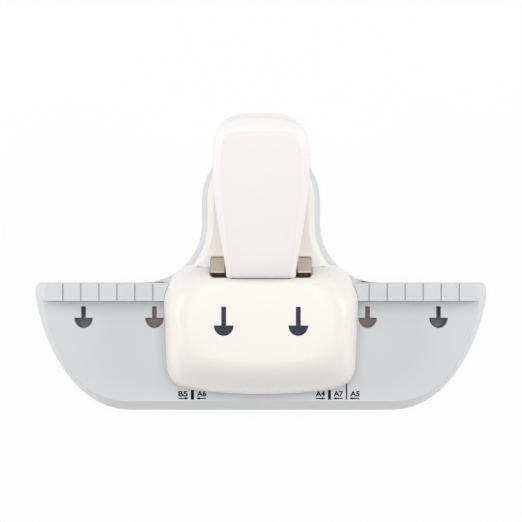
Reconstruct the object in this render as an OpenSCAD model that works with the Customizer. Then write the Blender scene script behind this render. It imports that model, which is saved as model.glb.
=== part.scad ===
// Desk punch for disc-bound notebooks. Two mushroom-shaped punches stand in a steel
// bracket under a moulded cover, and a lever hinged at the front drives them through
// the edge of the paper. X runs to the right, Y to the rear and Z up. The origin lies
// on the desk under the middle of the outline.

/* [Hole pattern] */
// Distance between neighbouring holes
hole_pitch = 25; // [23:0.5:26]
// Width of a hole's round head
head_w = 6.5; // [5.5:0.1:7]
// Depth of a hole's round head from front to back
head_depth = 3.6; // [3.2:0.1:4.2]
// Width of a hole's stem
stem_w = 1.6; // [1.2:0.1:2.2]
// Distance from the paper's edge to the head
stem_len = 6.1; // [5.5:0.1:6.6]
// Height of the slit that takes the paper
throat = 2; // [1.6:0.1:2.4]

/* [Base] */
// Overall width over the two wings
base_w = 162.2; // [156:0.2:168]
// Front edge of the base
front_y = -51; // [-52:0.25:-50]
// Rear edge of the wings
wing_rear_y = -5.1; // [-5.6:0.1:-4.6]
// Line against which the paper is pushed
stop_y = -11.3; // [-11.6:0.1:-11]
// Height of the table that carries the paper
plate_z = 13; // [12.6:0.1:14]
// Height of the fence above the table
fence_h = 8; // [6:0.5:11]
// Half width of the rear tongue
tongue_r = 21.2; // [20.6:0.1:22]
// Centre of the tongue's round end
tongue_y = 24.4; // [23:0.2:25.4]
// Radius of the hollow between wing and tongue
flare_r = 21; // [20:0.1:22]
// Lean of the front and side walls between the desk and the table
side_draft = 4; // [2:0.25:5]
// Lean of the fence's ends above the table
fence_draft = 2; // [1:0.25:3]
// Lean of the tongue's wall
tongue_draft = 2.4; // [1.6:0.1:3]
// Wall of the base and of the bottom cover
base_wall = 2; // [1.8:0.1:2.2]

/* [Cover] */
// Width of the box at the table
box_w = 67.7; // [65:0.1:70]
// Front of the box at the table
box_front_y = -44.2; // [-44.5:0.1:-43]
// Height of the box above the table
box_h = 27; // [27:0.1:29]
// Height of the neck above the table
neck_h = 8; // [7.6:0.1:8.2]
// Rear edge of the box's top
box_rear_y = -3.1; // [-3.4:0.1:-2.9]
// Rear of the box at the table
box_foot_y = 2; // [1.5:0.1:2.2]
// How far the sides draw in at the top
box_side_in = 9; // [6:0.5:11]
// How far the front draws in at the top
box_front_in = 13; // [10:0.5:13.5]
// Wall of the cover
cover_wall = 2; // [1.6:0.1:2]
// Width of the slot for the lever
slot_w = 34.6; // [32:0.2:35]
// Rear end of the slot in the neck
slot_rear_y = 4; // [3.6:0.1:5]

/* [Lever] */
// Distance from the hinge to the line of the punches
crank = 12.5; // [12:0.1:13]
// Height of the hinge above the table
pivot_h = 15.5; // [15.2:0.1:15.6]
// Rear tip of the lever
lever_rear_y = 51.5; // [49:0.25:52.5]
// Width of the lever's front end
lever_front_w = 23.3; // [22.8:0.1:24.4]
// Width of the lever's rear end
lever_rear_w = 31.8; // [29:0.2:34]
// Rise of the lever at rest
lever_rise = 14; // [13.6:0.1:14.4]
// Height of the cap over the arm at the front
cap_front_h = 6.4; // [5.5:0.1:7.5]
// Height of the cap over the arm at the rear
cap_rear_h = 9.4; // [8:0.1:11]
// Wall of the cap
cap_wall = 1.8; // [1.5:0.1:2]
// Width of the steel arm
arm_w = 18.4; // [17:0.1:18.8]
// Sheet of the arm
arm_t = 1.6; // [1.4:0.1:1.8]

/* [Mechanism] */
// Travel of the punches
stroke = 4; // [3.6:0.1:4.1]
// Sheet of the guard that closes the slot behind the lever
guard_t = 0.5; // [0.4:0.1:1]
// Sheet of the bracket and of the bed plate
sheet = 2; // [1.8:0.1:2.1]
// Height of the guide block
guide_h = 3.5; // [3:0.1:3.6]
// Diameter of the axle
axle_d = 5; // [4:0.1:5.4]
// Wire of the return springs
wire = 0.7; // [0.5:0.05:0.8]
// Outer diameter of the return springs
spring_d = 5.4; // [4.8:0.1:5.6]

/* [Fits] */
// Gap around a punch in its guide and die
punch_fit = 0.08; // [0.05:0.01:0.1]
// Gap around a pin or axle that turns
turn_fit = 0.05; // [0.03:0.01:0.08]
// Gap between pieces that lie side by side
side_fit = 0.3; // [0.2:0.05:0.4]

/* [Hidden] */

$fn = 48;
eps = 0.01;

rim_z = 0.8;
plate_under = plate_z - base_wall;
fence_top = plate_z + fence_h;
throat_z = plate_z + throat;
floor_top = throat_z + sheet;
bed_under = plate_under - sheet;
cover_top = plate_z + box_h;
neck_top = plate_z + neck_h;
half_w = base_w / 2;
sweep_in = 34.2;
sweep_x = half_w - sweep_in;
wing_corner = 2.2;
fence_groove_w = 0.5;
fence_groove_d = 0.7;
stop_relief = 0.4;
fence_first = 6;
fence_last = 11;

head_y = stop_y - stem_len;
head_front_y = head_y - head_depth;
stem_end_y = stop_y + 0.3;
window_stem = 4;
punch_x = hole_pitch / 2;
window_pitches = [1.5, 2.5];
well_wall = 1.2;
well_floor = rim_z + base_wall + side_fit + well_wall;

block_w = hole_pitch + head_w + 6.5;
block_front_y = head_front_y - 3;
block_rear_y = stop_y + 1.7;
die_fit = 0.1;

pivot_y = head_y - crank;
pivot_z = plate_z + pivot_h;
press_angle = 2 * atan(stroke / (2 * crank));
face_angle = press_angle / 2;
contact_gap = 0.1;
ridge_r = 3;
ridge_z = pivot_z + crank * tan(face_angle) - ridge_r / cos(face_angle) - contact_gap;
head_bar_d = 9;
head_bar_low = ridge_z - 2.2;
head_bar_high = ridge_z + 0.9;
head_bar_w = hole_pitch + 9;
tip_rise = 0.2;
punch_tip_z = throat_z + tip_rise;
tip_hollow = 0.4;
tip_r = 15;
tang_w = 4.4;
tang_d = 5;
tang_h = 2.5;
tang_root = 0.4;
pin_r = 0.75;
pin_z = head_bar_low + 1.3;

cheek_gap = side_fit / 3;
cheek_in = block_w / 2 + cheek_gap;
cheek_out = cheek_in + sheet;
eye_r = axle_d / 2 + 2;
cheek_r = axle_d / 2 + 2.5;
slope = (box_foot_y - box_rear_y) / box_h;
wall_step = cover_wall / cos(atan(slope));
guard_lean = 17.5;
guard_step = guard_t / cos(guard_lean);
guard_gap = 0.12;
guard_inset = 0.05;
guard_low = plate_z + 12.2;
guard_top = plate_z + 23;
guard_w = slot_w - 2 * guard_gap;
guard_ear_in = lever_front_w / 2 + 0.75;
slot_corner = 1.6;
cheek_rear_y = box_rear_y - 0.2;
floor_room = 1.8;
floor_front_y = box_front_y + cover_wall + floor_room;
stop_depth = 10;
bracket_screw_x = [6, 17];
bracket_screw_y = stop_y + 6;
screw_r = 1.5;
screw_hole_r = 1.65;
rivet_r = 1.25;
rivet_head_r = 2.1;
rivet_head_h = 0.8;
rivet_inset = 2.6;
guide_rivet_y = [block_front_y + rivet_inset, block_rear_y - rivet_inset];
spring_x = 4.6;
spring_y = head_y;
spring_room = 0.25;
spring_top = ridge_z;

axle_len = 2 * cheek_out + 4;
clip_t = 0.8;
clip_fit = 0.1;
clip_r = axle_d / 2 + 1.9;
groove_r = axle_d / 2 - 0.5;
spacer_r = eye_r - 0.6;

web_y = box_rear_y;
web_z = cover_top - cover_wall - 0.5;
cap_front_gap = 0.3;
cap_skirt = 3;
cap_edge_h = 3;
cap_edge_front = 1.8;
cap_edge_rear = 3.4;
cap_edge_power = 1.2;
cap_edge_steps = 7;
cap_nose = 7;
cap_nose_drop = 2.2;
cap_swell = 1.2;
cap_bulge = 0.4;
cap_corner = 0.7;
cap_front_y = box_rear_y + cap_front_gap;
cap_len = (lever_rear_y - cap_front_y - cap_skirt * sin(lever_rise)) / cos(lever_rise);
cap_shift = (cap_front_y - web_y) / cos(lever_rise);
arm_rear = cap_len - 12;
arm_flange = 3.4;
arm_bend = 0.15;
arm_rear_flange = 8;
arm_room = 0.8;
lever_screw_y = [0.28 * cap_len, 0.62 * cap_len];
lever_screw_r = 1.2;
lever_boss_r = 3;

tap_r = 1.2;
tap_fit = 0.05;
tap_hole = 1.5;
boss_r = 3;
pan_r = 2.6;
pan_h = 1.8;
box_rings = 11;
box_flat = 4;
box_bow = 2.9;
box_corner_w = 11;
box_corner_d = 9.5;
box_corner_power = 3;
box_corner_rear = 12.5;
box_taper = 0.85;
box_turn = 2.4;
box_turn_from = 0.84;
box_edge = 0.5;
box_fit = 0.1;
neck_rings = 6;
neck_in = 3;
post_rib_h = 4;
corner_in = 0.6;
cover_screw_len = 7;
bracket_head_r = 2.75;
bracket_head_h = 2;
cover_screw_at = [[25.2, -5.5], [-25.2, -5.5], [10.5, 24], [-10.5, 24]];
screw_end_x = half_w - 10.4;
screw_front_x = half_w - 31;
bottom_screw_at = [[screw_end_x, -13], [-screw_end_x, -13], [screw_front_x, -41], [-screw_front_x, -41],
    [0, tongue_y + 12.1]];
foot_front_x = half_w - 21;
foot_rear_x = 9.5;
foot_rear_y = tongue_y + 8.6;
foot_at = [[-foot_front_x, -33], [foot_front_x, -33], [-foot_rear_x, foot_rear_y],
    [foot_rear_x, foot_rear_y]];
foot_r = 5;
foot_sink = 0.9;
foot_edge = 0.6;

chamber_x = 44;
rib_t = 1.5;
lid_w = 71.4;
lid_front_y = -42.4;
lid_axis_y = -9.5;
lid_axis_z = rim_z + 1.6;
lid_pin_r = 1;
lid_pin_len = 2;
lid_tail = 1;
lid_gap = 0.35;
lid_tail_gap = 1.2;
hinge_block = 3.2;
hinge_block_r = 2.5;
lid_catch_w = 16;
lid_catch_t = 1.4;
lid_catch_h = 2;
lid_rib_x = 20;
lid_rib_t = 1.4;
lid_rib_h = 0.8;
lid_rib_in = 4;
lid_grip_w = 18;
lid_grip_y = 3;
lid_grip_len = 6;
lid_grip_d = 0.8;
chamber_rear_y = 8;
bottom_screw_len = 7;
bottom_head_h = 0.8;
bottom_seat = 1;
bed_margin = 1.8;
bed_lip = 3;
bed_tail = 6;
chip_room = 0.6;

function arc(c, r, from, to, n) =
    [for (i = [0 : n]) let (a = from + (to - from) * i / n) c + r * [cos(a), sin(a)]];
function bezier(p, n) =
    [for (i = [0 : n]) let (t = i / n, u = 1 - t)
        u * u * u * p[0] + 3 * u * u * t * p[1] + 3 * u * t * t * p[2] + t * t * t * p[3]];
function mirrored(half) =
    concat(half, [for (i = [len(half) - 1 : -1 : 0]) [-half[i][0], half[i][1]]]);
function eased(t, n) = 1 - pow(max(0, 1 - pow(t, n)), 1 / n);

// Outline of the two wings, drawn in by side at the front and ends and by back at the rear
function wing_outline(side, back) = mirrored(concat(
    bezier([[sweep_x, front_y + side], [half_w - 15, front_y + side],
        [half_w - 3.4 - side, -29.4], [half_w - side, -10.5]], 14),
    arc([half_w - side - wing_corner, wing_rear_y - back - wing_corner], wing_corner, 0, 90, 4)));

// Outline of the tongue with its hollow flanks, drawn in by side and, at the wings, by back
function tongue_outline(side, back) =
    let (x = tongue_r + flare_r, y = wing_rear_y + flare_r)
    mirrored(concat([[x, wing_rear_y - 4]],
        [for (i = [0 : 9]) let (a = 270 - 10 * i)
            [x + (flare_r + side) * cos(a), y + (flare_r + back) * sin(a)]],
        arc([0, tongue_y], tongue_r - side, 0, 86, 11)));

// How far the box's front lies behind its middle at x, with its bow and its rounded corner
function box_front(x, w, wide, deep) =
    let (u = min(1, max(0, x - w + box_taper + wide) / wide))
    box_bow * pow(x / w, 2) + deep * (1 - pow(1 - pow(u, box_corner_power), 1 / box_corner_power));

// Outline of the box at a share t of its height, drawn in by a wall
function box_outline(t, wall) =
    let (w = box_w / 2 - wall - box_side_in * eased(t, 2.6),
        front = box_front_y + wall + box_front_in * eased(t, 1.75),
        turn = box_turn * eased(max(0, (t - box_turn_from) / (1 - box_turn_from)), 2),
        rear = box_rear_y + slope * box_h * (1 - t) - (wall > 0 ? wall_step : wall) - turn,
        wide = box_corner_w - wall, deep = box_corner_d - wall,
        rr = min(box_corner_rear - wall, rear - front - box_bow - deep - box_edge))
    mirrored(concat(
        [for (i = [0 : 11])
            let (x = box_flat + (w - box_taper - box_flat) * pow(sin(90 * i / 11), 2 / box_corner_power))
            [x, front + box_front(x, w, wide, deep)]],
        arc([w - rr, rear - rr], rr, 0, 90, 11)));

// Plan of the lever cap in its own sloping frame, drawn in at its front and rear
function cap_outline(front, rear) =
    let (f = lever_front_w / 2 - front, r = lever_rear_w / 2 - rear,
        back = cap_len - rear - cap_bulge)
    mirrored(concat([[f - cap_corner, front], [f, front + cap_corner]],
        bezier([[f + 0.4, 6], [r - 1, 0.42 * cap_len], [r, 0.55 * cap_len], [r, 0.7 * cap_len]], 9),
        bezier([[r, 0.78 * cap_len], [r, min(0.95 * cap_len, back)], [0.72 * r, back],
            [0.2 * r, back + cap_bulge]], 11)));

// One mushroom-shaped hole, grown all round by grow, with a stem that ends at rear
function mushroom(grow, rear) =
    let (w = head_w / 2 + grow, d = head_depth + grow, s = stem_w / 2 + grow)
    concat([[s, rear], [s, head_y + grow], [w, head_y + grow]],
        [for (i = [0 : 14]) let (a = -180 * i / 14)
            [w * cos(a), head_y + d * sin(a)]],
        [[-w, head_y + grow], [-s, head_y + grow], [-s, rear]]);

function helix(r, low, high, turns, n) =
    [for (i = [0 : n]) let (a = 360 * turns * i / n) [r * cos(a), r * sin(a), low + (high - low) * i / n]];

function at_height(outline, z) = [for (p = outline) [p[0], p[1], z]];

// Solid skin over a stack of rings; every ring is alike on both sides of the X = 0 plane
module loft(rings) {
    n = len(rings[0]);
    last = (len(rings) - 1) * n;
    sides = [for (k = [0 : len(rings) - 2], i = [0 : n - 1])
        let (m = (i + 1) % n, p = k * n, q = p + n)
        for (t = [[p + i, q + i, q + m], [p + i, q + m, p + m]]) t];
    ends = [for (i = [0 : n / 2 - 2])
        let (a = n - 1 - i, b = n - 2 - i)
        for (t = [[i, i + 1, b], [i, b, a], [last + i, last + b, last + i + 1],
            [last + i, last + a, last + b]]) t];
    polyhedron(points = [for (r = rings) for (v = r) v], faces = concat(sides, ends));
}

// Two limits along X on the side s of the middle plane
function span(s, near, far) = s > 0 ? [near, far] : [-far, -near];

module block(x, y, z) {
    translate([x[0], y[0], z[0]])
        cube([x[1] - x[0], y[1] - y[0], z[1] - z[0]]);
}

module rod_x(x, y, z, r) {
    translate([x[0], y, z])
        rotate([0, 90, 0])
            cylinder(h = x[1] - x[0], r = r);
}

// A side view, drawn in Y and Z, given a thickness along X
module side_plate(x) {
    translate([x[0], 0, 0])
        rotate([90, 0, 90])
            linear_extrude(x[1] - x[0])
                children();
}

module mushroom_cut(x, grow, rear, z) {
    translate([x, 0, z[0]])
        linear_extrude(z[1] - z[0])
            polygon(mushroom(grow, rear));
}

// A pan head below z = 0 and a shank that rises from it
module screw(r, len, head_r, head_h) {
    cylinder(h = len, r = r);
    translate([0, 0, -head_h])
        cylinder(h = head_h, r = head_r);
}

// Solid wings and tongue up to a height, drawn in by a wall
module base_mass(low, high, wall) {
    share_low = (low - rim_z) / (plate_z - rim_z);
    share_high = (high - rim_z) / (plate_z - rim_z);
    loft([at_height(wing_outline(wall + side_draft * share_low, wall), low),
        at_height(wing_outline(wall + side_draft * share_high, wall), high)]);
    loft([at_height(tongue_outline(wall + tongue_draft * share_low, wall), low),
        at_height(tongue_outline(wall + tongue_draft * share_high, wall), high)]);
}

module base() {
    color("#d6dadb")
    difference() {
        union() {
            base_mass(rim_z, plate_z, 0);
            fence();
        }
        difference() {
            base_mass(rim_z - 0.2, plate_under, base_wall);
            base_ribs();
        }
        for (i = [0, 1], s = [-1, 1])
            mushroom_cut(s * window_pitches[i] * hole_pitch, 0, head_y + window_stem,
                [i == 0 ? plate_under - eps : well_floor, plate_z + eps]);
        block([-block_w / 2 - die_fit, block_w / 2 + die_fit],
            [block_front_y - die_fit, block_rear_y + die_fit], [plate_under - eps, plate_z + eps]);
        for (s = [-1, 1])
            block(span(s, box_w / 2 - base_wall, half_w - side_draft - fence_draft),
                [stop_y - stop_relief, stop_y], [plate_z - stop_relief, plate_z + eps]);
        for (x = bracket_screw_x, s = [-1, 1])
            translate([s * x, bracket_screw_y, plate_under - eps])
                cylinder(h = base_wall + 2 * eps, r = screw_hole_r);
        for (p = cover_screw_at)
            translate([p[0], p[1], plate_under - eps])
                cylinder(h = base_wall + 2 * eps, r = tap_hole);
        for (p = bottom_screw_at)
            translate([p[0], p[1], rim_z])
                cylinder(h = bottom_screw_len + 2 * bottom_seat, r = tap_r + tap_fit);
    }
}

// Fence along the rear of each wing, with a groove at every quarter pitch
module fence() {
    hollow_in = box_w / 2 + 3;
    hollow_out = half_w - side_draft - fence_draft - 3;
    difference() {
        intersection() {
            loft([at_height(wing_outline(side_draft, 0), plate_z - 1),
                at_height(wing_outline(side_draft, 0), plate_z),
                at_height(wing_outline(side_draft + fence_draft, 0), fence_top)]);
            union() {
                for (s = [-1, 1])
                    block([s * half_w / 2 - half_w / 2, s * half_w / 2 + half_w / 2],
                        [stop_y, wing_rear_y], [plate_z - 1, fence_top]);
            }
        }
        box_mass(-box_fit, plate_z);
        for (k = [fence_first : fence_last], s = [-1, 1])
            translate([s * k * hole_pitch / 4, (stop_y + wing_rear_y) / 2, fence_top])
                cube([fence_groove_w, 20, 2 * fence_groove_d], center = true);
        for (s = [-1, 1])
            block(span(s, hollow_in, hollow_out),
                [stop_y + base_wall, wing_rear_y - base_wall], [plate_z - 2, fence_top - base_wall]);
    }
}

// Screw posts, the walls of the chip chamber and the wells of the two outer windows, all on
// the underside of the table
module base_ribs() {
    low = rim_z + base_wall;
    for (p = bottom_screw_at)
        translate([p[0], p[1], low])
            cylinder(h = plate_z - low, r = boss_r);
    for (s = [-1, 1]) {
        block([s * chamber_x - rib_t / 2, s * chamber_x + rib_t / 2], [front_y, wing_rear_y],
            [low, plate_z]);
        mushroom_cut(s * window_pitches[1] * hole_pitch, well_wall, head_y + window_stem + well_wall,
            [well_floor - well_wall, plate_z]);
    }
    block([-tongue_r, tongue_r], [chamber_rear_y, chamber_rear_y + rib_t], [low, plate_z]);
}

// Plate that closes the base from below, with the window and hinge blocks for the chip lid
module bottom_cover() {
    inset = base_wall + side_fit;
    window_x = lid_w / 2 + lid_gap;
    color("#9ea3a6")
    difference() {
        union() {
            base_mass(rim_z, rim_z + base_wall, inset);
            for (s = [-1, 1])
                block(span(s, window_x, window_x + hinge_block),
                    [lid_axis_y - hinge_block_r, lid_axis_y + hinge_block_r],
                    [rim_z, lid_axis_z + hinge_block_r]);
        }
        block([-window_x, window_x], [lid_front_y - lid_gap, lid_axis_y + lid_tail + lid_tail_gap],
            [0, lid_axis_z + hinge_block]);
        rod_x([-window_x - lid_pin_len - side_fit, window_x + lid_pin_len + side_fit], lid_axis_y,
            lid_axis_z, lid_pin_r + turn_fit);
        for (p = bottom_screw_at)
            translate([p[0], p[1], 0]) {
                cylinder(h = 2 * base_wall + rim_z, r = tap_hole);
                cylinder(h = rim_z + bottom_seat, r = pan_r + side_fit);
            }
        for (p = foot_at)
            translate([p[0], p[1], 0])
                cylinder(h = rim_z + foot_sink, r = foot_r + tap_fit);
    }
}

module bottom_screws() {
    color("#8b8f93")
    for (p = bottom_screw_at)
        translate([p[0], p[1], rim_z + bottom_seat])
            screw(tap_r, bottom_screw_len, pan_r, bottom_head_h);
}

module foot(i) {
    color("#2b2b2c")
    translate([foot_at[i][0], foot_at[i][1], 0])
        rotate_extrude()
            polygon([[0, 0], [foot_r - foot_edge, 0], [foot_r, foot_edge], [foot_r, rim_z + foot_sink],
                [0, rim_z + foot_sink]]);
}

// Lid over the chip chamber, turning on two pins at its rear edge
module chip_lid() {
    color("#a8adb0")
    difference() {
        union() {
            block([-lid_w / 2, lid_w / 2], [lid_front_y, lid_axis_y + lid_tail],
                [rim_z, rim_z + base_wall]);
            rod_x([-lid_w / 2 - lid_pin_len, lid_w / 2 + lid_pin_len], lid_axis_y, lid_axis_z, lid_pin_r);
            block([-lid_catch_w / 2, lid_catch_w / 2], [lid_front_y, lid_front_y + lid_catch_t],
                [rim_z, rim_z + base_wall + lid_catch_h]);
            for (s = [-1, 1])
                block([s * lid_rib_x - lid_rib_t / 2, s * lid_rib_x + lid_rib_t / 2],
                    [lid_front_y + lid_rib_in, lid_axis_y - lid_rib_in],
                    [rim_z + base_wall / 2, rim_z + base_wall + lid_rib_h]);
        }
        block([-lid_grip_w / 2, lid_grip_w / 2],
            [lid_front_y + lid_grip_y, lid_front_y + lid_grip_y + lid_grip_len], [0, rim_z + lid_grip_d]);
    }
}

// Steel plate under the table that carries the dies and takes the load of the punches
module bed_plate() {
    bed_x = 1.5 * hole_pitch + head_w / 2 + bed_margin;
    color("#a99c90")
    difference() {
        union() {
            block([-bed_x, bed_x], [block_front_y - bed_lip, wing_rear_y - 1.5 * base_wall],
                [bed_under, plate_under]);
            block([-cheek_out, cheek_out], [block_front_y, bracket_screw_y + bed_tail],
                [bed_under, plate_under]);
        }
        for (s = [-1, 1])
            mushroom_cut(s * punch_x, chip_room, stem_end_y + chip_room,
                [bed_under - eps, plate_under + eps]);
        for (x = bracket_screw_x, s = [-1, 1])
            translate([s * x, bracket_screw_y, bed_under - eps])
                cylinder(h = sheet + 2 * eps, r = screw_hole_r);
        for (y = guide_rivet_y)
            translate([0, y, bed_under - eps])
                cylinder(h = sheet + 2 * eps, r = rivet_r + tap_fit);
        for (p = cover_screw_at)
            translate([p[0], p[1], bed_under - eps])
                cylinder(h = sheet + 2 * eps, r = pan_r + chip_room);
    }
}

// Hardened block flush with the table, with the two cutting openings
module die_block() {
    color("#b7aea5")
    difference() {
        block([-block_w / 2, block_w / 2], [block_front_y, block_rear_y], [plate_under, plate_z]);
        for (s = [-1, 1])
            mushroom_cut(s * punch_x, punch_fit, stem_end_y + punch_fit,
                [plate_under - eps, plate_z + eps]);
        for (y = guide_rivet_y)
            translate([0, y, plate_under - eps]) {
                cylinder(h = base_wall + 2 * eps, r = rivet_r + tap_fit);
                translate([0, 0, base_wall - rivet_head_h])
                    cylinder(h = rivet_head_h + 2 * eps, r = rivet_head_r + tap_fit);
            }
    }
}

module die_rivets() {
    color("#9a9da0")
    for (y = guide_rivet_y)
        translate([0, y, bed_under]) {
            cylinder(h = plate_z - bed_under, r = rivet_r);
            translate([0, 0, plate_z - bed_under - rivet_head_h])
                cylinder(h = rivet_head_h, r = rivet_head_r);
        }
}

// Spacer that holds the bracket one slit above the table; its front is the middle paper stop
module paper_stop() {
    color("#c9cccd")
    difference() {
        block([-cheek_out, cheek_out], [stop_y, stop_y + stop_depth], [plate_z, throat_z]);
        for (s = [-1, 1])
            mushroom_cut(s * punch_x, side_fit, stem_end_y + side_fit, [plate_z - eps, throat_z + eps]);
        for (x = bracket_screw_x, s = [-1, 1])
            translate([s * x, bracket_screw_y, plate_z - eps])
                cylinder(h = throat + 2 * eps, r = screw_hole_r);
    }
}

// Rear face of the leaning guard at a height
function guard_rear(z) = slot_rear_y - guard_gap - (z - neck_top) * tan(guard_lean);

// Side view of the guard between two heights
module guard_shape(low, high) {
    polygon([[guard_rear(low), low], [guard_rear(high), high], [guard_rear(high) - guard_step, high],
        [guard_rear(low) - guard_step, low]]);
}

// Bent steel bracket: a floor over the slit, two cheeks for the axle and, welded to the
// rear of its floor, a thin guard with an ear on each side of the lever
module punch_bracket() {
    color("#b9ada1")
    difference() {
        union() {
            block([-cheek_out, cheek_out], [floor_front_y, cheek_rear_y], [throat_z, floor_top]);
            block([-guard_w / 2, guard_w / 2], [floor_front_y, guard_rear(floor_top) - guard_step / 2],
                [throat_z, floor_top]);
            for (s = [-1, 1])
                side_plate(span(s, cheek_in, cheek_out))
                    cheek_shape();
            side_plate([-guard_w / 2, guard_w / 2])
                guard_shape(throat_z + sheet / 4, guard_low);
            for (s = [-1, 1])
                side_plate(span(s, guard_ear_in, guard_w / 2 - guard_inset))
                    guard_shape(guard_low - sheet, guard_top);
        }
        for (s = [-1, 1])
            mushroom_cut(s * punch_x, punch_fit, stem_end_y + punch_fit, [throat_z - eps, floor_top + eps]);
        for (x = bracket_screw_x, s = [-1, 1])
            translate([s * x, bracket_screw_y, throat_z - eps])
                cylinder(h = sheet + 2 * eps, r = screw_r + tap_fit);
        for (y = guide_rivet_y)
            translate([0, y, throat_z - eps])
                cylinder(h = sheet + 2 * eps, r = rivet_r + tap_fit);
        rod_x([-cheek_out - 1, cheek_out + 1], pivot_y, pivot_z, axle_d / 2 + tap_fit);
    }
}

// Side view of a cheek: a round lug at the axle on a long foot
module cheek_shape() {
    wall_at = plate_z + 10;
    translate([pivot_y, pivot_z])
        circle(r = cheek_r);
    polygon([[pivot_y - cheek_r, throat_z], [pivot_y - cheek_r, pivot_z], [pivot_y + cheek_r, pivot_z],
        [pivot_y + cheek_r + 8, wall_at], [cheek_rear_y - 1.5, wall_at], [cheek_rear_y, throat_z]]);
}

module guide_block() {
    color("#8f9396")
    difference() {
        block([-block_w / 2, block_w / 2], [block_front_y, block_rear_y], [floor_top, floor_top + guide_h]);
        for (s = [-1, 1]) {
            mushroom_cut(s * punch_x, punch_fit, stem_end_y + punch_fit,
                [floor_top - eps, floor_top + guide_h + eps]);
            translate([s * spring_x, spring_y, floor_top - eps])
                cylinder(h = guide_h + 2 * eps, r = spring_d / 2 + spring_room);
        }
        for (y = guide_rivet_y)
            translate([0, y, floor_top - eps]) {
                cylinder(h = guide_h + 2 * eps, r = rivet_r + tap_fit);
                translate([0, 0, guide_h - rivet_head_h])
                    cylinder(h = rivet_head_h + 2 * eps, r = rivet_head_r + tap_fit);
            }
    }
}

module guide_rivets() {
    color("#9a9da0")
    for (y = guide_rivet_y)
        translate([0, y, throat_z]) {
            cylinder(h = sheet + guide_h, r = rivet_r);
            translate([0, 0, sheet + guide_h - rivet_head_h])
                cylinder(h = rivet_head_h, r = rivet_head_r);
        }
}

module bracket_screws() {
    color("#8b8f93")
    for (x = bracket_screw_x, s = [-1, 1])
        translate([s * x, bracket_screw_y, bed_under])
            screw(screw_r, floor_top - bed_under, bracket_head_r, bracket_head_h);
}

// Axle with a groove near each end for its clip
module lever_axle() {
    color("#b4b8bb")
    difference() {
        rod_x([-axle_len / 2, axle_len / 2], pivot_y, pivot_z, axle_d / 2);
        for (s = [-1, 1])
            translate([s * (cheek_out + 0.1 + clip_t / 2 + clip_fit), pivot_y, pivot_z])
                rotate([0, 90, 0])
                    difference() {
                        cylinder(h = clip_t + 2 * clip_fit, r = axle_d, center = true);
                        cylinder(h = clip_t + 2 * clip_fit + 1, r = groove_r, center = true);
                    }
    }
}

module axle_clips() {
    color("#5b5e61")
    for (s = [-1, 1])
        translate([s * (cheek_out + 0.1 + clip_t / 2 + clip_fit), pivot_y, pivot_z])
            rotate([0, 90, 0])
                difference() {
                    cylinder(h = clip_t, r = clip_r, center = true);
                    cylinder(h = clip_t + 1, r = groove_r + tap_fit, center = true);
                    translate([0, clip_r, 0])
                        cube([2 * groove_r - 0.4, 2 * clip_r, clip_t + 1], center = true);
                }
}

// Sleeves on the axle that keep the arm in the middle
module pivot_spacers() {
    color("#e4e0d4")
    for (s = [-1, 1])
        difference() {
            rod_x(span(s, arm_w / 2 + side_fit, cheek_in - side_fit), pivot_y, pivot_z, spacer_r);
            rod_x([-axle_len, axle_len], pivot_y, pivot_z, axle_d / 2 + turn_fit);
        }
}

// Helical compression spring drawn as one unbroken tube of wire
spring_turns = 5.5;
spring_steps = 44;
spring_sides = 6;
spring_path = helix(spring_d / 2 - wire / 2, floor_top + wire / 2 + eps, spring_top - wire / 2 - eps,
    spring_turns, spring_steps);
half_turn = spring_steps / spring_turns / 2;
spring_gap = min([for (i = [0 : spring_steps], j = [0 : spring_steps]) if (j - i > half_turn)
    norm(spring_path[i] - spring_path[j])]) - wire;
echo(spring_gap = spring_gap);

module spring() {
    rings = [for (i = [0 : spring_steps])
        let (a = 360 * spring_turns * i / spring_steps, out = [cos(a), sin(a), 0],
            along = spring_path[min(i + 1, spring_steps)] - spring_path[max(i - 1, 0)],
            up = cross(out, along / norm(along)))
        for (k = [0 : spring_sides - 1])
            let (b = 360 * k / spring_sides)
            spring_path[i] + wire / 2 * (cos(b) * out + sin(b) * up)];
    walls = [for (i = [0 : spring_steps - 1], k = [0 : spring_sides - 1])
        let (m = (k + 1) % spring_sides, p = i * spring_sides, q = p + spring_sides)
        for (t = [[p + k, q + k, q + m], [p + k, q + m, p + m]]) t];
    last = spring_steps * spring_sides;
    ends = [for (k = [1 : spring_sides - 2]) for (t = [[0, k, k + 1], [last, last + k + 1, last + k]]) t];
    polyhedron(points = rings, faces = concat(walls, ends));
}

module return_spring(s) {
    color("#c3c6c8")
    translate([s * spring_x, spring_y, 0])
        spring();
}

// Bar that joins the two punches; the arm rolls on its rounded ridge
module crosshead() {
    color("#a3a6a8")
    difference() {
        union() {
            block([-head_bar_w / 2, head_bar_w / 2], [head_y - head_bar_d / 2, head_y + head_bar_d / 2],
                [head_bar_low, head_bar_high]);
            rod_x([-head_bar_w / 2, head_bar_w / 2], head_y, ridge_z, ridge_r - eps);
        }
        for (s = [-1, 1]) {
            translate([s * spring_x, spring_y, head_bar_low - 2])
                cylinder(h = spring_top - head_bar_low + 2, r = spring_d / 2 + spring_room);
            translate([s * punch_x, head_y, head_bar_low])
                cube([tang_w + 0.1, tang_d + 0.1, 2 * tang_h + 0.1], center = true);
            translate([s * punch_x, head_y - head_bar_d, pin_z])
                rotate([-90, 0, 0])
                    cylinder(h = 2 * head_bar_d, r = pin_r + tap_fit);
        }
        block([-head_bar_w, head_bar_w], [head_y - 20, head_y + 20], [head_bar_low - 9, head_bar_low]);
    }
}

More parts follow.
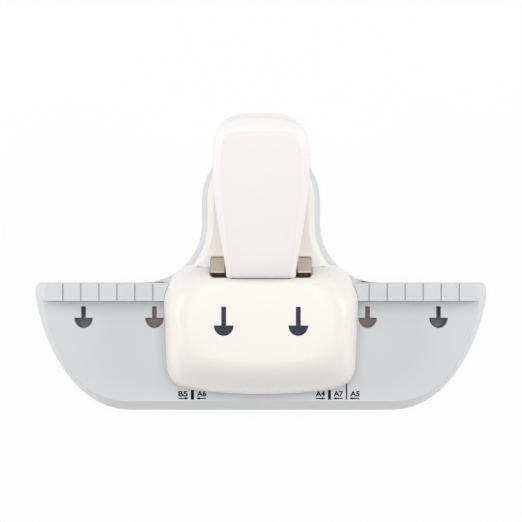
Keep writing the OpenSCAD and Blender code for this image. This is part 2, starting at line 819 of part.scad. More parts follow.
// Mushroom-shaped punch with a hollow-ground tip and a tang for the crosshead
module punch(s) {
    color("#c2bdb6")
    difference() {
        union() {
            mushroom_cut(s * punch_x, 0, stem_end_y, [punch_tip_z, head_bar_low]);
            translate([s * punch_x - tang_w / 2, head_y - tang_d / 2, head_bar_low - tang_root])
                cube([tang_w, tang_d, tang_h + tang_root]);
        }
        translate([s * punch_x, head_y - head_bar_d, pin_z])
            rotate([-90, 0, 0])
                cylinder(h = 2 * head_bar_d, r = pin_r + tap_fit);
        rod_x([s * punch_x - head_w, s * punch_x + head_w], (head_front_y + stem_end_y) / 2,
            punch_tip_z + tip_hollow - tip_r, tip_r);
    }
}

module punch_pins() {
    color("#84888b")
    for (s = [-1, 1])
        translate([s * punch_x, head_y - head_bar_d / 2, pin_z])
            rotate([-90, 0, 0])
                cylinder(h = head_bar_d, r = pin_r);
}

// Moves its children into the sloping frame of the lever
module on_lever() {
    translate([0, web_y, web_z])
        rotate([lever_rise, 0, 0])
            children();
}

// Height of the top of the arm's web at a place along Y
function web_top(y) = web_z + (y - web_y) * tan(lever_rise);
function press_line(y) = pivot_z + (y - pivot_y) * tan(face_angle);

// Bent steel channel that turns on the axle and reaches up into the cap
module lever_arm() {
    web_start = pivot_y + eye_r + 2.5;
    color("#c0b4a8")
    difference() {
        union() {
            on_lever()
                block([arm_bend - arm_w / 2, arm_w / 2 - arm_bend],
                    [(web_start - web_y) / cos(lever_rise), arm_rear], [-arm_t, 0]);
            for (s = [-1, 1]) {
                side_plate(span(s, arm_w / 2 - arm_t, arm_w / 2))
                    arm_side();
                on_lever()
                    block(span(s, arm_w / 2 - arm_t, arm_w / 2), [arm_rear_flange, arm_rear + arm_bend],
                        [-arm_flange, -arm_t / 2]);
            }
        }
        rod_x([-arm_w, arm_w], pivot_y, pivot_z, axle_d / 2 + turn_fit);
        on_lever()
            for (y = lever_screw_y)
                translate([0, y + cap_shift, -2 * arm_t])
                    cylinder(h = 3 * arm_t, r = lever_screw_r + 0.25);
    }
}

// Side view of one flange of the arm, with the edge that presses on the crosshead
module arm_side() {
    y0 = pivot_y + eye_r / 2;
    y1 = pivot_y + crank + 8;
    y2 = web_y - 1.6;
    translate([pivot_y, pivot_z])
        circle(r = eye_r);
    polygon([[pivot_y, pivot_z - eye_r / 2], [y0, press_line(y0)], [y1, press_line(y1)],
        [y2, web_top(y2) - arm_t / 2], [pivot_y + eye_r, web_top(pivot_y + eye_r) - arm_t / 2],
        [pivot_y, pivot_z + eye_r / 2]]);
}

// Height of the cap's top at a place along it: it rises and swells to the rear
function cap_top(y) =
    let (t = min(1, max(0, y / cap_len)), nose = max(0, 1 - y / cap_nose))
    cap_front_h + (cap_rear_h - cap_front_h) * t + cap_swell * sin(180 * t) - cap_nose_drop * nose * nose;

// Rings of the cap from its lower edge to its top, drawn in by a wall
function cap_rings(wall, low) =
    concat([at_height(cap_outline(wall, wall), low)],
        [for (i = [0 : cap_edge_steps])
            let (t = i / cap_edge_steps, e = eased(t, cap_edge_power),
                ring = cap_outline(wall + cap_edge_front * e, wall + cap_edge_rear * e))
            [for (p = ring) [p[0], p[1], cap_top(p[1]) - wall - cap_edge_h * (1 - t)]]]);

// Moulded grip with rounded top edges, open underneath, with two screw posts
module lever_cap() {
    color("#f5f2f0")
    on_lever()
        translate([0, cap_shift, 0])
            difference() {
                loft(cap_rings(0, -cap_skirt));
                difference() {
                    loft(cap_rings(cap_wall, -cap_skirt - 1));
                    for (y = lever_screw_y)
                        translate([0, y, side_fit])
                            cylinder(h = 20, r = lever_boss_r);
                }
                block([-lever_rear_w, lever_rear_w], [-20, 9], [-20, side_fit / 3]);
                for (y = lever_screw_y)
                    translate([0, y, -10])
                        cylinder(h = 10 + 5, r = lever_screw_r + tap_fit);
            }
}

module lever_screws() {
    color("#8b8f93")
    on_lever()
        translate([0, cap_shift, 0])
            for (y = lever_screw_y)
                translate([0, y, -arm_t])
                    screw(lever_screw_r, arm_t + 4.4, 2.3, 1.4);
}

// Box of the cover, drawn in by a wall
module box_mass(wall, low) {
    steps = [for (i = [0 : box_rings]) sin(90 * i / box_rings)];
    loft(concat(low < plate_z ? [at_height(box_outline(0, wall), low)] : [],
        [for (t = steps) at_height(box_outline(t, wall), plate_z + (box_h - wall) * t)]));
}

// Outer or inner mass of the cover: the box and the round-ended neck
module cover_mass(wall, low) {
    neck_steps = [for (i = [0 : neck_rings]) sin(90 * i / neck_rings)];
    neck_r = tongue_r - tongue_draft - wall;
    box_mass(wall, low);
    loft(concat(low < plate_z ? [at_height(neck_outline(neck_r), low)] : [],
        [for (t = neck_steps)
            at_height(neck_outline(neck_r - neck_in * eased(t, 2.4)), plate_z + (neck_h - wall) * t)]));
}

// Outline of the neck, which flares out to the box at its front
function neck_outline(r) =
    let (x = tongue_r + flare_r, y = wing_rear_y + flare_r)
    mirrored(concat(arc([x, y], x - r, 228, 180, 8), arc([0, tongue_y], r, 0, 86, 11)));

module cover() {
    color("#f4f1ee")
    difference() {
        union() {
            difference() {
                cover_mass(0, plate_z);
                cover_mass(cover_wall, plate_z - 1);
            }
            for (p = cover_screw_at)
                translate([p[0], p[1], plate_z])
                    cylinder(h = neck_h - cover_wall / 2, r = boss_r);
            for (s = [-1, 1])
                block(span(s, cover_screw_at[0][0], box_w / 2 - cover_wall - corner_in),
                    [cover_screw_at[0][1] - rib_t / 2, cover_screw_at[0][1] + rib_t / 2],
                    [plate_z, plate_z + post_rib_h]);
        }
        slot_cut();
        block([-half_w, half_w], [2 * front_y, stop_y], [0, throat_z]);
        for (p = cover_screw_at)
            translate([p[0], p[1], plate_z - 1])
                cylinder(h = cover_screw_len, r = tap_r + tap_fit);
    }
}

// Slot for the lever: round in its front corners, leaning with the guard at its rear, and
// cut farther forward under the box's top where the arm passes
module slot_cut() {
    low = neck_top - cover_wall - 1;
    half = slot_w / 2;
    arm_half = arm_w / 2 + arm_room;
    translate([0, 0, low])
        linear_extrude(cover_top + 1 - low)
            polygon(mirrored(concat(
                arc([half - slot_corner, box_rear_y + slot_corner], slot_corner, -90, 0, 6),
                [[half, slot_rear_y]])));
    side_plate([-half, half])
        polygon([[box_rear_y + slot_corner, low], [slot_rear_y + (neck_top - low) * tan(guard_lean), low],
            [slot_rear_y, neck_top], [box_rear_y + slot_corner, neck_top]]);
    block([-arm_half, arm_half], [box_rear_y - 2.5 * cover_wall, box_rear_y + slot_corner],
        [low, cover_top - cover_wall]);
}

module cover_screws() {
    color("#8b8f93")
    for (p = cover_screw_at)
        translate([p[0], p[1], plate_under])
            screw(tap_r, cover_screw_len, pan_r, pan_h);
}

base();
bottom_cover();
bottom_screws();
foot(0);  // foot_front_left
foot(1);  // foot_front_right
foot(2);  // foot_rear_left
foot(3);  // foot_rear_right
chip_lid();
bed_plate();
die_block();
die_rivets();
paper_stop();
punch_bracket();
guide_block();
guide_rivets();
bracket_screws();
lever_axle();
axle_clips();
pivot_spacers();
return_spring(-1);  // return_spring_left
return_spring(1);  // return_spring_right
crosshead();
punch(-1);  // punch_left
punch(1);  // punch_right
punch_pins();
lever_arm();
lever_cap();
lever_screws();
cover();
cover_screws();
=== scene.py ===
"""Looks of a desk punch for disc-bound notebooks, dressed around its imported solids."""
import math

import bmesh
import bpy
from mathutils import Matrix, Vector


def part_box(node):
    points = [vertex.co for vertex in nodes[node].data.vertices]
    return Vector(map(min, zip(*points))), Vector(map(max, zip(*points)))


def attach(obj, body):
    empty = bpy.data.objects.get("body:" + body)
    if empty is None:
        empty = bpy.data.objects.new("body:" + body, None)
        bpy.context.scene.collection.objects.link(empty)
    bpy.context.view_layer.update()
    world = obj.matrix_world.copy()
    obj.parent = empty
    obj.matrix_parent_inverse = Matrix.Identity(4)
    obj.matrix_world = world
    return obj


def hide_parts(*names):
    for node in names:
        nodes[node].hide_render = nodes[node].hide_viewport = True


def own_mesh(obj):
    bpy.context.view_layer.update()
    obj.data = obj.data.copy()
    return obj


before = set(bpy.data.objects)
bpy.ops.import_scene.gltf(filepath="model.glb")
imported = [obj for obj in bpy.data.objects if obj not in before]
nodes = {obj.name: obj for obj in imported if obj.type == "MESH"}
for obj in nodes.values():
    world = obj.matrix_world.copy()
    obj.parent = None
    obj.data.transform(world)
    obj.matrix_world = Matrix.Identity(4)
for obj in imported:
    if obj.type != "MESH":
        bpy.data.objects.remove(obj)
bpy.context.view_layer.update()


# Rubber feet
# Four round feet of moulded black rubber, each pressed into a pocket of the bottom
# cover. They are solids of the frame and get their finish here.
MM = 0.001


def linear(code):
    """Turns an sRGB hex colour into the linear colour that a shader socket takes."""
    parts = [int(code[i:i + 2], 16) / 255 for i in (1, 3, 5)]
    return [c / 12.92 if c <= 0.04045 else ((c + 0.055) / 1.055) ** 2.4 for c in parts] + [1]


def add(tree, kind, inputs=None, links=None, **settings):
    """Adds a node, sets its properties and inputs, and links sockets into it."""
    node = tree.nodes.new(kind)
    for name, value in settings.items():
        setattr(node, name, value)
    for key, value in (inputs or {}).items():
        node.inputs[key].default_value = value
    for key, socket in (links or {}).items():
        tree.links.new(socket, node.inputs[key])
    return node


def finish(name, shades, cloud_mm, grain_mm, relief_mm, rough, stretch=(1, 1, 1), **shader):
    """A surface with clouds between two shades and a grain that is felt as relief and roughness.

    stretch draws the grain out, as rolling or grinding does; shader sets uniform sockets. A
    grain that is finer on the real surface is drawn at 0.3 mm or more, so that it shows."""
    material = bpy.data.materials.new(name)
    material.use_nodes = True
    tree = material.node_tree
    body = tree.nodes["Principled BSDF"]
    for key, value in shader.items():
        body.inputs[key.replace("_", " ")].default_value = value
    place = add(tree, "ShaderNodeTexCoord").outputs["Object"]
    cloud = add(tree, "ShaderNodeTexNoise", {"Scale": 1 / (cloud_mm * MM), "Detail": 3},
                {"Vector": place})
    drawn = add(tree, "ShaderNodeMapping", {"Scale": stretch}, {"Vector": place})
    grain = add(tree, "ShaderNodeTexNoise", {"Scale": 1 / (grain_mm * MM), "Detail": 4},
                {"Vector": drawn.outputs["Vector"]})
    tone = add(tree, "ShaderNodeMix", {6: linear(shades[0]), 7: linear(shades[1])},
               {0: cloud.outputs["Fac"]}, data_type="RGBA")
    gloss = add(tree, "ShaderNodeMapRange", {"To Min": rough[0], "To Max": rough[1]},
                {"Value": grain.outputs["Fac"]})
    relief = add(tree, "ShaderNodeBump", {"Strength": 1, "Distance": relief_mm * MM},
                 {"Height": grain.outputs["Fac"]})
    tree.links.new(tone.outputs[2], body.inputs["Base Color"])
    tree.links.new(gloss.outputs["Result"], body.inputs["Roughness"])
    tree.links.new(relief.outputs["Normal"], body.inputs["Normal"])
    return material


def dress(material, *names):
    """Gives a solid of the frame its finish."""
    for name in names:
        nodes[name].data.materials.clear()
        nodes[name].data.materials.append(material)


# Moulded rubber is dull and nearly black, with a dusty grain that greys it at the edges.
rubber = finish("moulded_rubber", ("#232324", "#323233"), cloud_mm=3, grain_mm=0.5, relief_mm=0.03,
                rough=(0.7, 0.95), IOR=1.52)
dress(rubber, "foot_front_left", "foot_front_right", "foot_rear_left", "foot_rear_right")


# Bottom cover and chip lid
# The plate that closes the base from below and the lid that empties the chips, both
# moulded in grey polypropylene. The lid snaps into the plate on two round pins.

# Polypropylene is waxy, with a spark-eroded grain; the grain is drawn coarser so that it shows.
polypropylene = finish("moulded_polypropylene", ("#d2d6d8", "#dadddf"), cloud_mm=14, grain_mm=0.6,
                       relief_mm=0.02, rough=(0.42, 0.6), IOR=1.49)
dress(polypropylene, "bottom_cover", "chip_lid")


# Screws
# Zinc-plated pan-head screws with a cross recess. Five hold the bottom cover, four
# the moulded cover, four the bracket, and two hold the grip on the steel arm.
def islands(node, turn=Matrix.Identity(3)):
    """Lowest and highest corner of each separate solid of a node, in a turned frame."""
    loose = bmesh.new()
    loose.from_mesh(nodes[node].data)
    bmesh.ops.remove_doubles(loose, verts=loose.verts, dist=0.001 * MM)
    found = []
    waiting = set(loose.verts)
    while waiting:
        reached = [waiting.pop()]
        for vert in reached:
            near = {edge.other_vert(vert) for edge in vert.link_edges} & waiting
            waiting -= near
            reached.extend(near)
        points = [turn @ vert.co for vert in reached]
        corners = list(zip(*points))
        found.append((Vector(map(min, corners)), Vector(map(max, corners))))
    loose.free()
    return found


def grow(name, tree, points, **sizes):
    """Runs a Geometry Nodes tree on loose points and returns its result as a plain mesh object."""
    seed = bpy.data.meshes.new(name)
    seed.from_pydata(points, [], [])
    piece = bpy.data.objects.new(name, seed)
    bpy.context.scene.collection.objects.link(piece)
    modifier = piece.modifiers.new("made by nodes", "NODES")
    modifier.node_group = tree
    for key, value in sizes.items():
        modifier[tree.interface.items_tree[key.replace("_", " ")].identifier] = value
    shown = piece.evaluated_get(bpy.context.evaluated_depsgraph_get())
    mesh = bpy.data.meshes.new_from_object(shown)
    piece.modifiers.clear()
    piece.data = mesh
    bpy.data.meshes.remove(seed)
    mesh.name = name
    return piece


def named_inputs(tree, *names):
    """Gives a Geometry Nodes tree its geometry sockets and named sizes."""
    tree.interface.new_socket("Geometry", in_out="INPUT", socket_type="NodeSocketGeometry")
    for name in names:
        tree.interface.new_socket(name, in_out="INPUT", socket_type="NodeSocketFloat")
    tree.interface.new_socket("Geometry", in_out="OUTPUT", socket_type="NodeSocketGeometry")


# Bright zinc plate over steel: bluish, a little cloudy, with fine lines left by turning.
zinc = finish("zinc_plated_steel", ("#a9adb0", "#c3c6c8"), cloud_mm=2, grain_mm=0.4, relief_mm=0.01,
              rough=(0.25, 0.42), stretch=(1, 1, 6), Metallic=1)

screw_tree = bpy.data.node_groups.new("pan_head_screws", "GeometryNodeTree")
named_inputs(screw_tree, "Head Radius", "Head Height", "Shank Radius", "Shank Length")
sizes_in = add(screw_tree, "NodeGroupInput").outputs
HEAD_SIDES = 32
# The head is drawn out of a disc in steps that grow narrower, which rounds its rim.
disc = add(screw_tree, "GeometryNodeMeshCircle", {"Vertices": HEAD_SIDES},
           {"Radius": sizes_in["Head Radius"]}, fill_type="NGON").outputs["Mesh"]
rim = disc
top = None
for share, narrowing in ((0.55, 0.98), (0.3, 0.88), (0.15, 0.76)):
    step = add(screw_tree, "ShaderNodeMath", {1: share}, {0: sizes_in["Head Height"]},
               operation="MULTIPLY")
    links = {"Mesh": rim, "Offset Scale": step.outputs[0]}
    if top:
        links["Selection"] = top
    drawn = add(screw_tree, "GeometryNodeExtrudeMesh", links=links, mode="FACES")
    top = drawn.outputs["Top"]
    rim = add(screw_tree, "GeometryNodeScaleElements", {"Scale": narrowing},
              {"Geometry": drawn.outputs["Mesh"], "Selection": top}).outputs["Geometry"]
# The same disc, turned over, closes the head from below.
under = add(screw_tree, "GeometryNodeFlipFaces", links={"Mesh": disc}).outputs["Mesh"]
shell = add(screw_tree, "GeometryNodeJoinGeometry")
for part in (rim, under):
    screw_tree.links.new(part, shell.inputs["Geometry"])
blank = add(screw_tree, "GeometryNodeMergeByDistance", {"Distance": 0.001 * MM},
            {"Geometry": shell.outputs["Geometry"]}).outputs["Geometry"]
# Two bars, each a third of the head wide, sink the cross recess half way into the head.
cross_bars = []
for wide, long in ((0.3, 1.15), (1.15, 0.3)):
    across = [add(screw_tree, "ShaderNodeMath", {1: share}, {0: sizes_in["Head Radius"]},
                  operation="MULTIPLY").outputs[0] for share in (wide, long)]
    extent = add(screw_tree, "ShaderNodeCombineXYZ", links={
        "X": across[0], "Y": across[1], "Z": sizes_in["Head Height"]})
    lift = add(screw_tree, "ShaderNodeCombineXYZ", links={"Z": sizes_in["Head Height"]})
    cube = add(screw_tree, "GeometryNodeMeshCube", links={"Size": extent.outputs[0]})
    cross_bars.append(add(screw_tree, "GeometryNodeTransform", links={
        "Geometry": cube.outputs["Mesh"], "Translation": lift.outputs[0]}).outputs["Geometry"])
cross = add(screw_tree, "GeometryNodeMeshBoolean", operation="UNION", solver="EXACT")
head = add(screw_tree, "GeometryNodeMeshBoolean", links={"Mesh 1": blank}, operation="DIFFERENCE",
           solver="EXACT")
for cross_bar in cross_bars:
    screw_tree.links.new(cross_bar, cross.inputs["Mesh 2"])
screw_tree.links.new(cross.outputs["Mesh"], head.inputs["Mesh 2"])
shank = add(screw_tree, "GeometryNodeMeshCylinder", {"Vertices": HEAD_SIDES}, {
    "Radius": sizes_in["Shank Radius"], "Depth": sizes_in["Shank Length"]})
half_down = add(screw_tree, "ShaderNodeMath", {1: -0.5}, {0: sizes_in["Shank Length"]},
                operation="MULTIPLY")
sunk = add(screw_tree, "ShaderNodeCombineXYZ", links={"Z": half_down.outputs[0]})
shank = add(screw_tree, "GeometryNodeTransform", links={
    "Geometry": shank.outputs["Mesh"], "Translation": sunk.outputs[0]})
whole = add(screw_tree, "GeometryNodeMeshBoolean", operation="UNION", solver="EXACT")
for part in (head.outputs["Mesh"], shank.outputs["Geometry"]):
    screw_tree.links.new(part, whole.inputs["Mesh 2"])
placed = add(screw_tree, "GeometryNodeInstanceOnPoints", {"Rotation": (math.pi, 0, 0)}, {
    "Points": sizes_in["Geometry"], "Instance": whole.outputs["Mesh"]})
real = add(screw_tree, "GeometryNodeRealizeInstances", links={"Geometry": placed.outputs["Instances"]})
plated = add(screw_tree, "GeometryNodeSetMaterial", {"Material": zinc},
             {"Geometry": real.outputs["Geometry"]})
add(screw_tree, "NodeGroupOutput", links={"Geometry": plated.outputs["Geometry"]})


def screws(node, body, head_height, shank_radius, turn=Matrix.Identity(3)):
    """Screws with their heads down in place of a node's plain ones, in a frame turned by turn."""
    found = islands(node, turn)
    low, high = found[0]
    places = [((a.x + b.x) / 2, (a.y + b.y) / 2, a.z + head_height) for a, b in found]
    piece = grow("cross_" + node, screw_tree, places, Head_Radius=(high.x - low.x) / 2,
                 Head_Height=head_height, Shank_Radius=shank_radius,
                 Shank_Length=high.z - low.z - head_height)
    piece.data.transform(turn.inverted().to_4x4())
    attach(piece, body)
    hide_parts(node)


LEVER_RISE = math.radians(14)
lever_frame = Matrix.Rotation(-LEVER_RISE, 3, "X")
screws("bottom_screws", "frame", head_height=0.8 * MM, shank_radius=1.2 * MM)
screws("bracket_screws", "frame", head_height=2 * MM, shank_radius=1.5 * MM)
screws("cover_screws", "frame", head_height=1.8 * MM, shank_radius=1.2 * MM)
screws("lever_screws", "lever", head_height=1.4 * MM, shank_radius=1.2 * MM, turn=lever_frame)


# Base
# The grey table with its two wings, tongue and grooved fence, one moulding in ABS.
# Its mould leaves every outer edge slightly rounded.
def moulding(node, name, radius, material, body, share=lambda edge: 1, least=32):
    """A copy of a node with rounded edges that stands for it.

    share gives an edge's part of the radius; edges that turn less than least degrees shade smoothly."""
    mesh = bpy.data.meshes.new(name)
    work = bmesh.new()
    work.from_mesh(nodes[node].data)
    bmesh.ops.remove_doubles(work, verts=work.verts, dist=0.001 * MM)
    weight = work.edges.layers.float.new("bevel_weight_edge")
    for edge in work.edges:
        corner = len(edge.link_faces) == 2 and edge.calc_face_angle() > math.radians(least)
        edge.smooth = not corner
        if corner:
            edge[weight] = share(edge)
    for face in work.faces:
        face.smooth = True
    work.to_mesh(mesh)
    work.free()
    if "custom_normal" in mesh.attributes:
        mesh.attributes.remove(mesh.attributes["custom_normal"])
    mesh.materials.append(material)
    piece = bpy.data.objects.new(name, mesh)
    bpy.context.scene.collection.objects.link(piece)
    bevel = piece.modifiers.new("rounded edges", "BEVEL")
    bevel.limit_method = "WEIGHT"
    bevel.width = radius
    bevel.segments = 2
    bevel.use_clamp_overlap = False
    bevel.harden_normals = True
    even = piece.modifiers.new("even shading", "WEIGHTED_NORMAL")
    even.keep_sharp = True
    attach(piece, body)
    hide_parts(node)
    return piece


# Moulded ABS is even and satin; the grain of its mould softens every highlight. The grain
# is a few hundredths of a millimetre on the real piece and is drawn coarser so that it shows.
grey_abs = finish("moulded_grey_abs", ("#d5d7d9", "#dbdcdf"), cloud_mm=30, grain_mm=0.7, relief_mm=0.012,
                  rough=(0.34, 0.46), IOR=1.54)
FENCE_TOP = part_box("base")[1].z
TABLE_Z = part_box("die_block")[1].z
STOP_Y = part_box("paper_stop")[0].y
BOX_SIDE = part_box("cover")[1].x


def table_share(edge):
    """Grooves, the foot slit and the windows stay crisp, and the fence's inner end stays sharp."""
    places = [vert.co for vert in edge.verts]
    if all(abs(p.x) < BOX_SIDE + 1 * MM and p.y > STOP_Y - 0.5 * MM for p in places):
        return 0
    grooves = all(p.z > FENCE_TOP - 0.8 * MM for p in places) and edge.calc_length() < 8 * MM
    foot = all(-0.5 * MM < p.y - STOP_Y < 0.1 * MM and abs(p.z - TABLE_Z) < 0.5 * MM for p in places)
    windows = all(-10 * MM < p.y - STOP_Y < -1 * MM and abs(p.x) < 70 * MM for p in places)
    return 1 / 3 if grooves or foot or windows else 1


table = moulding("base", "grey_table", 0.4 * MM, grey_abs, "frame", table_share)

# The same ABS inside the two outer windows, which are blind wells, is painted a darker, rougher grey
# there: painted shade for the dark deep in the wells.
well_shade_abs = finish("grey_abs_painted_well_shade", ("#b9bbbc", "#c4c6c7"), cloud_mm=3, grain_mm=0.7, relief_mm=0.02,
                   rough=(0.6, 0.8), IOR=1.54)
table.data.materials.append(well_shade_abs)
WELL_IN, WELL_OUT = 57 * MM, 69 * MM
# Faces low in the outer wells take the painted shade.
for face in table.data.polygons:
    across, along, up = face.center
    in_plan = WELL_IN < abs(across) < WELL_OUT and -12 * MM < along - STOP_Y < -1 * MM
    if in_plan and up < TABLE_Z - 1 * MM:
        face.material_index = 1


# Steel bed, bracket and arm
# The plate under the table, the bent bracket over the paper slit and the lever's arm
# are pressed from cold-rolled steel sheet, which has a warm tone under its oil.

# Cold-rolled sheet is satin with fine lines along the roll and a faint brownish cloud.
rolled_steel = finish("cold_rolled_steel", ("#c9bcb0", "#dcd0c5"), cloud_mm=9, grain_mm=0.5,
                      relief_mm=0.01, rough=(0.32, 0.5), stretch=(1, 0.1, 0.1), Metallic=1)
dress(rolled_steel, "lever_arm")

# The bracket is the same sheet; low inside the box, below the guard, it is painted darker as painted
# shade, so that the slit beside the lever reads dark.
slot_shade_steel = rolled_steel.copy()
slot_shade_steel.name = "rolled_steel_painted_slot_shade"
slot_shade_tree = slot_shade_steel.node_tree
slot_shade_body = slot_shade_tree.nodes["Principled BSDF"]
unshaded_tone = slot_shade_body.inputs["Base Color"].links[0].from_socket
spot = add(slot_shade_tree, "ShaderNodeTexCoord").outputs["Object"]
spot_z = add(slot_shade_tree, "ShaderNodeSeparateXYZ", links={"Vector": spot}).outputs["Z"]
FLOOR_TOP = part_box("guide_block")[0].z
unshaded_share = add(slot_shade_tree, "ShaderNodeMapRange",
            {"From Min": FLOOR_TOP + 1 * MM, "From Max": FLOOR_TOP + 2 * MM},
            {"Value": spot_z}).outputs["Result"]
# Painted shade: up to 1 mm above the floor the bracket takes a dark brown, which fades into the rolled
# tone by 2 mm above it.
painted_shade = add(slot_shade_tree, "ShaderNodeMix", {6: linear("#5c534b")}, {0: unshaded_share, 7: unshaded_tone},
           data_type="RGBA")
# The top edge of the guard is painted a darker tone than the rolled faces.
GUARD_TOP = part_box("punch_bracket")[1].z
on_top = add(slot_shade_tree, "ShaderNodeMath", {1: GUARD_TOP - 0.02 * MM}, {0: spot_z},
             operation="GREATER_THAN")
darker_top = add(slot_shade_tree, "ShaderNodeMix", {7: linear("#a0968d")},
              {0: on_top.outputs[0], 6: painted_shade.outputs[2]}, data_type="RGBA")
slot_shade_tree.links.new(darker_top.outputs[2], slot_shade_body.inputs["Base Color"])
dress(slot_shade_steel, "punch_bracket")
# The bed stays in the dark of the base and carries a brown phosphate coat.
phosphated_steel = finish("phosphated_steel", ("#6f6462", "#7f7471"), cloud_mm=3, grain_mm=0.4,
                          relief_mm=0.01, rough=(0.45, 0.65), Metallic=0.6)
dress(phosphated_steel, "bed_plate")


# Dies, guide and punches
# Hardened blocks and the two mushroom-shaped punches, ground on their faces. The
# punches hang in the crosshead on cross pins.

# Ground tool steel is bright, with crossing fine lines of the wheel.
tool_steel = finish("ground_tool_steel", ("#a7a9ab", "#babcbe"), cloud_mm=6, grain_mm=0.35,
                    relief_mm=0.008, rough=(0.18, 0.34), stretch=(1, 0.1, 1), Metallic=1)
dress(tool_steel, "die_block", "guide_block", "punch_left", "punch_right", "punch_pins", "lever_axle")
# Die-cast zinc is duller and mottled, with the skin of its mould.
cast_zinc = finish("die_cast_zinc", ("#9a9da0", "#aeb1b3"), cloud_mm=4, grain_mm=0.9, relief_mm=0.03,
                   rough=(0.4, 0.6), Metallic=1)
dress(cast_zinc, "crosshead")
dress(zinc, "die_rivets", "guide_rivets")


# Paper stop, spacers and clips
# The plated spacer that sets the height of the slit, two nylon sleeves that centre the
# arm on its axle, and the spring-steel clips that keep the axle in the bracket.
dress(zinc, "paper_stop")
# Nylon is milky and soft to the eye.
nylon = finish("moulded_nylon", ("#e2ddd0", "#ebe7dc"), cloud_mm=5, grain_mm=0.6, relief_mm=0.01,
               rough=(0.35, 0.5), IOR=1.53, Subsurface_Weight=0.1, Subsurface_Scale=0.001)
dress(nylon, "pivot_spacers")
# Blued spring steel is dark, with a bluish cast.
spring_steel = finish("spring_steel", ("#7b8086", "#969ba0"), cloud_mm=2, grain_mm=0.3, relief_mm=0.006,
                      rough=(0.22, 0.36), stretch=(1, 1, 4), Metallic=1)
dress(spring_steel, "axle_clips")


# Return springs
# Two compression springs of round wire stand beside the punches, between the bracket's
# floor and the crosshead, and shorten with its stroke.
SPRING_TURNS = 5.5
SPRING_STEPS = 24
spring_tree = bpy.data.node_groups.new("return_springs", "GeometryNodeTree")
named_inputs(spring_tree, "Wire", "Coil Radius", "Height", "Turns")
spring_in = add(spring_tree, "NodeGroupInput").outputs
coil = add(spring_tree, "GeometryNodeCurveSpiral", {"Resolution": SPRING_STEPS}, {
    "Rotations": spring_in["Turns"], "Start Radius": spring_in["Coil Radius"],
    "End Radius": spring_in["Coil Radius"], "Height": spring_in["Height"]})
round_wire = add(spring_tree, "GeometryNodeCurvePrimitiveCircle", {"Resolution": 10},
                 {"Radius": spring_in["Wire"]})
tube = add(spring_tree, "GeometryNodeCurveToMesh", {"Fill Caps": True}, {
    "Curve": coil.outputs["Curve"], "Profile Curve": round_wire.outputs["Curve"]})
stood = add(spring_tree, "GeometryNodeInstanceOnPoints", links={
    "Points": spring_in["Geometry"], "Instance": tube.outputs["Mesh"]})
joined = add(spring_tree, "GeometryNodeRealizeInstances", links={"Geometry": stood.outputs["Instances"]})
blued = add(spring_tree, "GeometryNodeSetMaterial", {"Material": spring_steel},
            {"Geometry": joined.outputs["Geometry"]})
add(spring_tree, "NodeGroupOutput", links={"Geometry": blued.outputs["Geometry"]})

WIRE_RADIUS = 0.35 * MM
for side in ("left", "right"):
    low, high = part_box("return_spring_" + side)
    height = high.z - low.z - 2 * WIRE_RADIUS
    spring = grow("coil_spring_" + side, spring_tree,
                  [((low.x + high.x) / 2, (low.y + high.y) / 2, low.z + WIRE_RADIUS)],
                  Wire=WIRE_RADIUS, Coil_Radius=(high.x - low.x) / 2 - WIRE_RADIUS, Height=height,
                  Turns=SPRING_TURNS)
    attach(spring, "frame")
    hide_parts("return_spring_" + side)
    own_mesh(spring)


# Cover and lever grip
# The white box with its neck and the long grip of the lever are moulded in white ABS.
# The cover is screwed on from below, the grip onto the steel arm.

# White ABS as above; the cover leans to a creamy tone and the grip to a rosy one. The grip is also a
# little lighter than the cover: painted light that makes up for the light its forward-leaning top
# misses.
cover_abs = finish("creamy_white_abs", ("#f3f0ec", "#f6f3ef"), cloud_mm=40, grain_mm=0.7,
                   relief_mm=0.006, rough=(0.24, 0.34), IOR=1.54)
grip_abs = finish("rosy_white_abs", ("#f8f4f3", "#fbf8f7"), cloud_mm=40, grain_mm=0.7, relief_mm=0.006,
                  rough=(0.24, 0.34), IOR=1.54)
moulding("cover", "white_cover", 0.35 * MM, cover_abs, "frame")
moulding("lever_cap", "white_grip", 0.35 * MM, grip_abs, "lever", least=70)


# Printed marks
# Thin black and dark blue marks printed on the table and on the cover's top: bars for
# the edges of common paper sizes, their codes and arrows, and two hole shapes.
PRINT_THICK = 0.04 * MM

# Pad-printed ink is flat and dull, with small voids over the grain.
black_ink = finish("black_pad_print", ("#070709", "#0d0d10"), cloud_mm=1.5, grain_mm=0.4,
                   relief_mm=0.004, rough=(0.4, 0.55), IOR=1.5, Specular_IOR_Level=0.1)
blue_ink = finish("blue_pad_print", ("#2f303b", "#393a46"), cloud_mm=1.5, grain_mm=0.4, relief_mm=0.004,
                  rough=(0.4, 0.55), IOR=1.5, Specular_IOR_Level=0.2)


def stamp(work, outline, floor):
    """A flat patch of ink of the given outline, in mm, lying on a floor height in metres."""
    ring = [work.verts.new((x * MM, y * MM, floor)) for x, y in outline]
    lifted = bmesh.ops.extrude_face_region(work, geom=[work.faces.new(ring)], use_keep_orig=True)
    for part in lifted["geom"]:
        if isinstance(part, bmesh.types.BMVert):
            part.co.z += PRINT_THICK


def printed(name, outlines, floor, ink):
    """One print made of several patches of ink."""
    work = bmesh.new()
    for outline in outlines:
        stamp(work, outline, floor)
    bmesh.ops.recalc_face_normals(work, faces=work.faces)
    mesh = bpy.data.meshes.new(name)
    work.to_mesh(mesh)
    work.free()
    mesh.materials.append(ink)
    piece = bpy.data.objects.new(name, mesh)
    bpy.context.scene.collection.objects.link(piece)
    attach(piece, "frame")
    return piece


def bar(x0, x1, y0, y1):
    """Outline of an upright bar."""
    return [(x0, y0), (x1, y0), (x1, y1), (x0, y1)]


